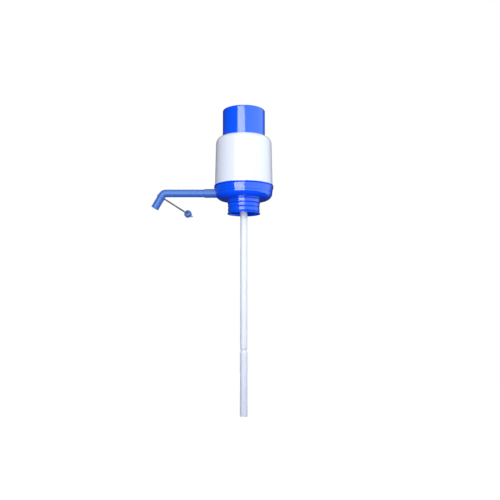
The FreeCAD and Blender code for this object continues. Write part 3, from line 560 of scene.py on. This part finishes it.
def make_bellows():
    """The concertina. A tree folds a plain sheet round the axis, and then it gets its wall."""
    roundness = 0.8        # of the folds: less makes their backs broader and their roots narrower
    room = 0.2             # to the plates above and below
    bottom = DECK_TOP + room
    sizes = {"Folds": 9, "Steps": 8, "Around": 96, "Root": 27.95 * MM, "Fold depth": 6.8 * MM,
             "Bottom": bottom * MM, "Height": (BELLOWS_TOP - room - bottom) * MM}
    tree, given, result = new_tree("Bellows", sizes)
    cells = add_node(tree, MATH, [given["Folds"], given["Steps"]], operation="MULTIPLY")
    sheet = add_node(tree, "GeometryNodeMeshGrid", {
        "Size X": 1.0, "Size Y": 1.0,
        "Vertices X": add_node(tree, MATH, [given["Around"], 1.0], operation="ADD"),
        "Vertices Y": add_node(tree, MATH, [cells, 1.0], operation="ADD")})
    spot = add_node(tree, "ShaderNodeSeparateXYZ", [add_node(tree, "GeometryNodeInputPosition")]).outputs
    turn = add_node(tree, MATH, [spot["X"], 2 * math.pi], operation="MULTIPLY")
    up = add_node(tree, MATH, [spot["Y"], 0.5], operation="ADD")
    # 0 at a fold's root and 1 on its back
    folds_up = add_node(tree, MATH, [up, given["Folds"]], operation="MULTIPLY")
    phase = add_node(tree, MATH, [folds_up, 2 * math.pi], operation="MULTIPLY")
    wave = add_node(tree, MATH, [phase], operation="COSINE")
    rise = add_node(tree, MATH, [1.0, wave], operation="SUBTRACT")
    halved = add_node(tree, MATH, [rise, 0.5], operation="MULTIPLY")
    swell = add_node(tree, MATH, [halved, roundness], operation="POWER")
    depth = add_node(tree, MATH, [swell, given["Fold depth"]], operation="MULTIPLY")
    radius = add_node(tree, MATH, [given["Root"], depth], operation="ADD")
    ways = [add_node(tree, MATH, [turn], operation=name) for name in ("COSINE", "SINE")]
    sides = [add_node(tree, MATH, [way, radius], operation="MULTIPLY") for way in ways]
    climb = add_node(tree, MATH, [up, given["Height"]], operation="MULTIPLY")
    place = add_node(tree, "ShaderNodeCombineXYZ", [
        *sides, add_node(tree, MATH, [given["Bottom"], climb], operation="ADD")])
    folded = add_node(tree, "GeometryNodeSetPosition", {"Geometry": sheet, "Position": place})
    seamless = add_node(tree, "GeometryNodeMergeByDistance", {"Geometry": folded, "Distance": 0.01 * MM})
    close_tree(tree, given, result, seamless)
    return grown("bellows_concertina", tree, sizes, BELLOWS_RUBBER, wall=BELLOWS_WALL)


def make_spout():
    """The bent pipe: a line with a rounded corner, and a circle that follows it."""
    turn = math.radians(SPOUT_TURN)
    sizes = {"Start": SPOUT_START * MM, "Corner": SPOUT_REACH * MM,
             "Drop across": SPOUT_DROP * math.cos(turn) * MM, "Drop down": SPOUT_DROP * math.sin(turn) * MM,
             "Axis height": SPOUT_AXIS * MM, "Bend radius": BEND_RADIUS * MM, "Pipe radius": PIPE_OUTER * MM}
    tree, given, result = new_tree("Bent pipe", sizes)
    start, corner = [add_node(tree, MATH, [given[name], -1.0], operation="MULTIPLY")
                     for name in ("Start", "Corner")]
    end = add_node(tree, MATH, [corner, given["Drop across"]], operation="SUBTRACT")
    end_height = add_node(tree, MATH, [given["Axis height"], given["Drop down"]], operation="SUBTRACT")
    points = [(start, given["Axis height"]), (corner, given["Axis height"]), (end, end_height)]
    corners = add_node(tree, "GeometryNodeMeshLine", {"Count": len(points)}, mode="OFFSET")
    switch = add_node(tree, "GeometryNodeIndexSwitch", {
        "Index": add_node(tree, "GeometryNodeInputIndex")}, data_type="VECTOR")
    switch.index_switch_items.new()
    for socket, (x, z) in zip(list(switch.inputs)[1:], points):
        tree.links.new(add_node(tree, "ShaderNodeCombineXYZ", {"X": x, "Z": z}).outputs[0], socket)
    placed = add_node(tree, "GeometryNodeSetPosition", {"Geometry": corners, "Position": switch})
    line = add_node(tree, "GeometryNodeMeshToCurve", {"Mesh": placed})
    fillet = add_node(tree, "GeometryNodeFilletCurve", {
        "Curve": line, "Radius": given["Bend radius"], "Count": BEND_STEPS}, mode="POLY")
    ring = add_node(tree, "GeometryNodeCurvePrimitiveCircle", {
        "Resolution": SMALL_TURNS, "Radius": given["Pipe radius"]})
    close_tree(tree, given, result, add_node(tree, "GeometryNodeCurveToMesh", {
        "Curve": fillet, "Profile Curve": ring}))
    return grown("spout_pipe_wall", tree, sizes, PIPE_BLUE, wall=PIPE_WALL)


# ---------------------------------------------------------------- strap and dust cap

def downhill(start, reach, degrees):
    """The point (x, z) that lies reach away from start, in the direction that is degrees below +X."""
    fall = math.radians(degrees)
    return start[0] + reach * math.cos(fall), start[1] - reach * math.sin(fall)


def tilted(point, degrees):
    """The place of a point (x, z) on the spout's plane, turned about Y."""
    x, z = point
    return Matrix.Translation((x * MM, 0, z * MM)) @ Matrix.Rotation(math.radians(degrees), 4, "Y")


RING_CENTRE = downhill((-SPOUT_REACH, SPOUT_AXIS), RING_DROP, 180 - SPOUT_TURN)
STRAP_START = downhill(RING_CENTRE, HINGE_AT, LEG_TILT)
CAP_CENTRE = downhill(STRAP_START, STRAP_LENGTH + CAP_HINGE, STRAP_TILT)


def make_strap_ring():
    """The loose ring round the spout's leg, with the ear that the strap bends from."""
    bore, outer, half = 7.3, 8.2, 1.5
    ring = turned_mesh(rounded([(bore, -half, 0.3), (outer, -half, 0.35), (outer, half, 0.35),
                                (bore, half, 0.3)]), SMALL_TURNS)
    ear = block(width=1.5, depth=EAR_WIDTH, height=EAR_WIDTH, rounding=EAR_ROUNDING, centre=(8.35, 0, 0))
    mesh = combined(ring, [ear], "UNION")
    mesh.transform(tilted(RING_CENTRE, LEG_TILT))
    return new_piece("strap_ring_band", mesh, STOPPER_BLUE)


def make_cap_strap():
    """The strap: a thin round bar whose ends are balls about the points where it bends."""
    outline = [*arc((0, 0), STRAP_RADIUS, -90, 0), *arc((0, STRAP_LENGTH), STRAP_RADIUS, 0, 90)]
    along = tilted(STRAP_START, STRAP_TILT) @ Matrix.Rotation(math.radians(90), 4, "Y")
    return turned("cap_strap_bar", outline, STRAP_GREY, SMALL_TURNS, along)


def make_dust_cap():
    """A domed stopper with a hollow plug, an ear to the strap and a pull tab. It hangs facing -Y."""
    head, half_plate, dome_rise = 7.0, 1.3, 3.0
    plug, plug_bore, plug_end = 5.45, 3.95, -8.9
    lead, lead_start = 4.85, -7.7
    dome_radius = (head ** 2 + dome_rise ** 2) / (2 * dome_rise)
    dome_start = math.degrees(math.asin((dome_radius - dome_rise) / dome_radius))
    dome = arc((0, half_plate + dome_rise - dome_radius), dome_radius, dome_start, 90)
    stopper = turned_mesh(rounded([
        (0, -half_plate), (plug_bore, -half_plate, 0.2), (plug_bore, plug_end, 0.2), (lead, plug_end, 0.3),
        (plug, lead_start, 0.3), (plug, -half_plate, 0.2), (head, -half_plate, 0.6), *dome[:-1],
        (0, half_plate + dome_rise)]), SMALL_TURNS)
    ear = block(width=2.2, depth=EAR_WIDTH, height=EAR_WIDTH, rounding=EAR_ROUNDING, centre=(-6.7, 0, 0))
    tab = block(width=4.7, depth=3.0, height=2 * half_plate, rounding=0.8, centre=(7.85, 0, 0))
    mesh = combined(stopper, [ear, tab], "UNION")
    mesh.transform(tilted(CAP_CENTRE, STRAP_TILT) @ Matrix.Rotation(math.radians(-90), 4, "X"))
    return new_piece("dust_cap_stopper", mesh, STOPPER_BLUE)


# ---------------------------------------------------------------- dressing the frame

def dress(piece, body, slot, *nodes):
    """A piece rides on its body and stands for its CAD nodes."""
    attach(piece, body)
    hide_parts(*nodes)


dress(make_push_cap(), "button", "cap_plastic", "push_cap")
dress(make_shell(), "pump_base", "shell_plastic", "shell")
dress(make_base_rim(), "pump_base", "base_plastic", "base_deck")
dress(make_base_bowl(), "pump_base", "base_plastic", "base_bowl")
dress(make_neck_collar(), "pump_base", "collar_plastic", "neck_collar")
dress(make_outlet_nipple(), "pump_base", "spout_plastic", "outlet_nipple")
upper_tube, lower_tube = make_dip_tubes()
dress(upper_tube, "pump_base", "tube_plastic", "dip_tube_upper")
dress(lower_tube, "pump_base", "tube_plastic", "dip_tube_lower")
dress(make_spout(), "spout_pipe", "spout_plastic", "spout")
dress(make_strap_ring(), "strap_collar", "strap_plastic", "strap_ring")
dress(make_cap_strap(), "tether", "strap_plastic", "cap_strap")
dress(make_dust_cap(), "stopper", "strap_plastic", "dust_cap")
bellows = make_bellows()
dress(bellows, "pump_base", "bellows_rubber", "bellows")
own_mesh(bellows)

KEPT = {"bellows_top_plate": INNER_WHITE, "bellows_clamp_ring": INNER_WHITE, "intake_valve": VALVE_RUBBER,
        "delivery_valve": VALVE_RUBBER, "neck_gasket": SEAL_RUBBER, "spout_o_ring": SEAL_RUBBER,
        "outlet_elbow": PIPE_BLUE}
for node, material in KEPT.items():
    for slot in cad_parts[node].material_slots:
        slot.material = material


# ---------------------------------------------------------------- floor, light and camera

def make_floor():
    """A round studio table. The camera and seen-through pieces get it lit up to white paper."""
    radius, sides, gap = 0.85, 96, 0.5
    material, tree = new_material("White studio paper")
    rays = add_node(tree, "ShaderNodeLightPath").outputs
    place = add_node(tree, "ShaderNodeNewGeometry").outputs["Position"]
    reach = add_node(tree, "ShaderNodeVectorMath", [place], operation="LENGTH").outputs["Value"]
    # The paper is lifted a little less near the pump, which keeps the pump's own shadow
    lift = add_node(tree, "ShaderNodeMapRange", {"Value": reach, "From Min": 0.4, "From Max": 0.75,
                                                 "To Min": 0.90, "To Max": 1.0})
    seen = add_node(tree, MATH, [rays["Is Camera Ray"], rays["Is Transmission Ray"]], operation="MAXIMUM")
    # The light that comes up to the pump is blue, as it is over the blue jug the pump serves
    tint = add_node(tree, "ShaderNodeMix", {"Factor": seen, "A": colour("#1840B8"), "B": colour("#787878")},
                    data_type="RGBA")
    paper = add_node(tree, "ShaderNodeBsdfDiffuse", {"Color": tint.outputs[2]})
    white = add_node(tree, "ShaderNodeEmission", {
        "Color": colour("#FFFFFF"), "Strength": add_node(tree, MATH, [seen, lift], operation="MULTIPLY")})
    add_node(tree, "ShaderNodeOutputMaterial", {
        "Surface": add_node(tree, "ShaderNodeAddShader", [paper, white])})
    spin = [2 * math.pi * side / sides for side in range(sides)]
    rim = [(radius * math.cos(a), radius * math.sin(a), (TUBE_END - gap) * MM) for a in spin]
    mesh = bpy.data.meshes.new("floor")
    mesh.from_pydata(rim, [], [tuple(range(sides))])
    mesh.materials.append(material)
    floor = bpy.data.objects.new("floor", mesh)
    bpy.context.scene.collection.objects.link(floor)


def make_world():
    """White behind everything, and a room that is dark on the left, pale on the right and dim at the back.

    The pale side lights the pump less than its gloss shows, and the gloss shows it as a sky blue.
    """
    panel_in_gloss, panel_as_light, panel_far_right = 1.10, 0.66, 1.40
    dark, behind_pump = 0.04, 0.65
    world = bpy.data.worlds.new("Studio")
    bpy.context.scene.world = world
    world.use_nodes = True
    tree = world.node_tree
    tree.nodes.clear()
    toward = add_node(tree, "ShaderNodeTexCoord").outputs["Generated"]
    across, depth, height = add_node(tree, "ShaderNodeSeparateXYZ", [toward]).outputs
    rays = add_node(tree, "ShaderNodeLightPath").outputs
    # The pale panel: to the right, not straight behind the pump and not overhead
    panel = 1.0
    for way, dark_end, pale_end in ((across, 0.0, 0.15), (depth, 0.85, 0.25), (height, 0.85, 0.6)):
        share = add_node(tree, "ShaderNodeMapRange", {
            "Value": way, "From Min": dark_end, "From Max": pale_end}, interpolation_type="SMOOTHSTEP")
        panel = add_node(tree, MATH, [panel, share], operation="MULTIPLY")
    panel_left = add_node(tree, "ShaderNodeMix", {
        "Factor": rays["Is Diffuse Ray"], "A": panel_in_gloss, "B": panel_as_light}, data_type="FLOAT")
    panel_level = add_node(tree, "ShaderNodeMapRange", {
        "Value": across, "To Min": panel_left, "To Max": panel_far_right})
    behind = add_node(tree, "ShaderNodeMapRange", {"Value": depth, "From Min": 0.0, "From Max": 0.5,
                                                   "To Min": dark, "To Max": behind_pump})
    dim = add_node(tree, "ShaderNodeMix", {"Factor": rays["Is Diffuse Ray"], "A": dark, "B": behind},
                   data_type="FLOAT")
    room = add_node(tree, "ShaderNodeMix", {"Factor": panel, "A": dim, "B": panel_level}, data_type="FLOAT")
    # White for the camera, and for gloss that looks straight past the pump
    past_pump = add_node(tree, MATH, [depth, 0.98], operation="GREATER_THAN")
    upwards = add_node(tree, MATH, [height, 0.05], operation="GREATER_THAN")
    straight = add_node(tree, MATH, [past_pump, upwards], operation="MULTIPLY")
    mirrored = add_node(tree, MATH, [rays["Is Glossy Ray"], straight], operation="MULTIPLY")
    direct = add_node(tree, MATH, [rays["Is Camera Ray"], rays["Is Transmission Ray"]], operation="MAXIMUM")
    seen = add_node(tree, MATH, [mirrored, direct], operation="MAXIMUM")
    level = add_node(tree, "ShaderNodeMix", {"Factor": seen, "A": room, "B": 1.0}, data_type="FLOAT")
    unseen = add_node(tree, MATH, [1.0, seen], operation="SUBTRACT")
    bluish = add_node(tree, MATH, [rays["Is Glossy Ray"], unseen], operation="MULTIPLY")
    tint = add_node(tree, "ShaderNodeMix", {
        "Factor": bluish, "A": colour("#FFFFFF"), "B": colour("#C4EAFF")}, data_type="RGBA")
    sky = add_node(tree, "ShaderNodeBackground", {"Color": tint.outputs[2], "Strength": level})
    add_node(tree, "ShaderNodeOutputWorld", {"Surface": sky})


def add_lamp(name, place, target, width, height, power, roll=0.0):
    """A soft box at a place in metres, facing a target and rolled by some degrees."""
    lamp = bpy.data.lights.new(name, "AREA")
    lamp.shape = "RECTANGLE"
    lamp.size, lamp.size_y = width, height
    lamp.energy = power
    lamp.color = colour("#FAFFFF")[:3]
    thing = bpy.data.objects.new(name, lamp)
    bpy.context.scene.collection.objects.link(thing)
    thing.location = place
    facing = (Vector(target) - Vector(place)).to_track_quat("-Z", "Y")
    thing.rotation_euler = (facing @ Quaternion((0, 0, 1), math.radians(roll))).to_euler()
    thing.visible_camera = False


def make_camera():
    """The viewer stands 1.24 m away and looks up a little at the pump."""
    look_up = 3.6
    lens = bpy.data.cameras.new("camera")
    lens.sensor_width = 36.0
    lens.lens = 48.65
    lens.shift_y = 0.045
    camera = bpy.data.objects.new("camera", lens)
    bpy.context.scene.collection.objects.link(camera)
    camera.location = (0.0115, -1.24, -0.186)
    camera.rotation_euler = (math.radians(90 + look_up), 0, 0)
    bpy.context.scene.camera = camera


make_floor()
make_world()
add_lamp("key", place=(-0.347, -1.252, 0.03), target=(0, 0, 0.03), width=0.92, height=1.24,
         power=15.9, roll=-7)
add_lamp("top", place=(-0.1, -0.72, 1.20), target=(-0.05, 0, 0.05), width=0.5, height=0.6, power=4.0)
make_camera()
bpy.context.scene.view_settings.view_transform = "Standard"
